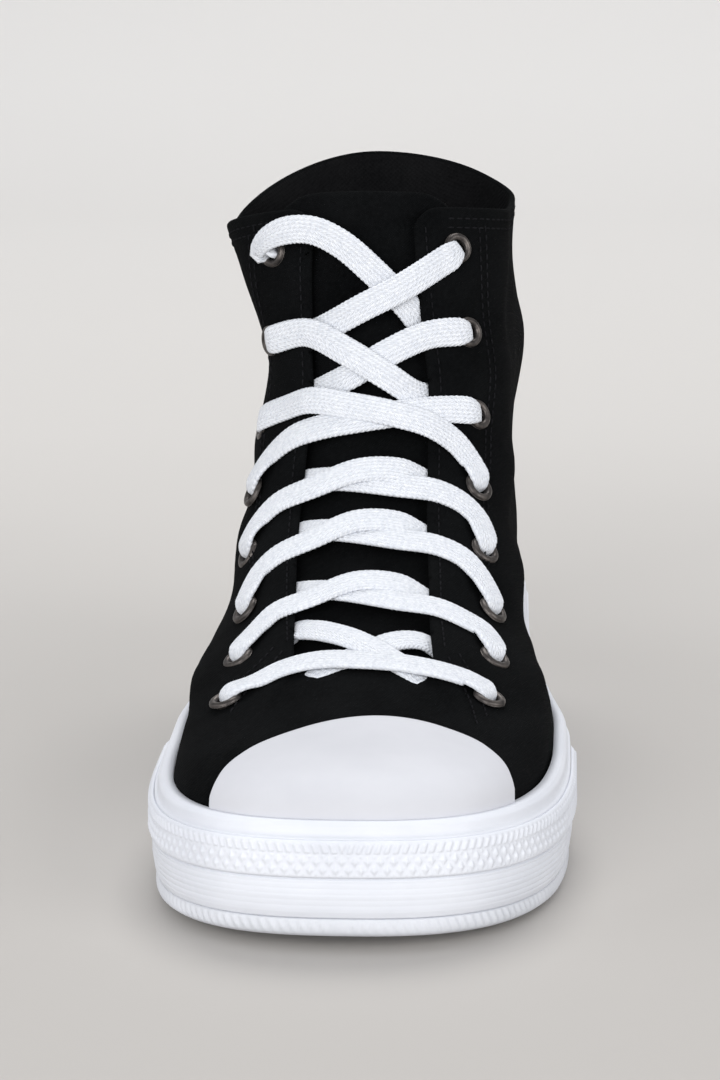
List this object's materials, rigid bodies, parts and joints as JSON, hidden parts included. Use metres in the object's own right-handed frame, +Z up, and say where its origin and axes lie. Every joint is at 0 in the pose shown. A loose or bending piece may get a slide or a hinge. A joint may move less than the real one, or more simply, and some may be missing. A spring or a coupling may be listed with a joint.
{
  "type": "high top sneaker",
  "caption": "Left canvas high top sneaker with a flat rubber sole, rubber toe cap and bumper, metal eyelets, a padded tongue and a flat lace",
  "frame": {"origin": "on the floor, under the middle of the shoe's bounding box", "axes": "+Z up, +Y from the toe towards the heel, +X towards the outer side of the foot"},
  "size_m": [0.1112, 0.2998, 0.1612],
  "materials": {
    "sole_rubber": "matt off-white moulded rubber",
    "side_rubber": "satin cool white rubber with fine steps and ribs",
    "cap_rubber": "satin lilac-grey white moulded rubber",
    "canvas": "near-black twill canvas with a soft nap",
    "lining": "natural cotton drill",
    "eyelet_metal": "dark gunmetal, worn at the rims",
    "lace_cotton": "cool white flat woven cotton"
  },
  "bodies": {
    "root": {"outsole": "sole_rubber", "foxing": "side_rubber", "toe_bumper": "side_rubber", "toe_cap": "cap_rubber", "upper": "canvas", "tongue": "canvas", "insole": "lining", "eyelet_medial_1": "eyelet_metal", "eyelet_medial_2": "eyelet_metal", "eyelet_medial_3": "eyelet_metal", "eyelet_medial_4": "eyelet_metal", "eyelet_medial_5": "eyelet_metal", "eyelet_medial_6": "eyelet_metal", "eyelet_medial_7": "eyelet_metal", "eyelet_medial_8": "eyelet_metal", "eyelet_lateral_1": "eyelet_metal", "eyelet_lateral_2": "eyelet_metal", "eyelet_lateral_3": "eyelet_metal", "eyelet_lateral_4": "eyelet_metal", "eyelet_lateral_5": "eyelet_metal", "eyelet_lateral_6": "eyelet_metal", "eyelet_lateral_7": "eyelet_metal", "eyelet_lateral_8": "eyelet_metal", "lace_bar": "lace_cotton", "lace_crossing_1": "lace_cotton", "lace_crossing_2": "lace_cotton", "lace_crossing_3": "lace_cotton", "lace_crossing_4": "lace_cotton", "lace_crossing_5": "lace_cotton", "lace_crossing_6": "lace_cotton", "lace_crossing_7": "lace_cotton"}
  },
  "joints": []
}
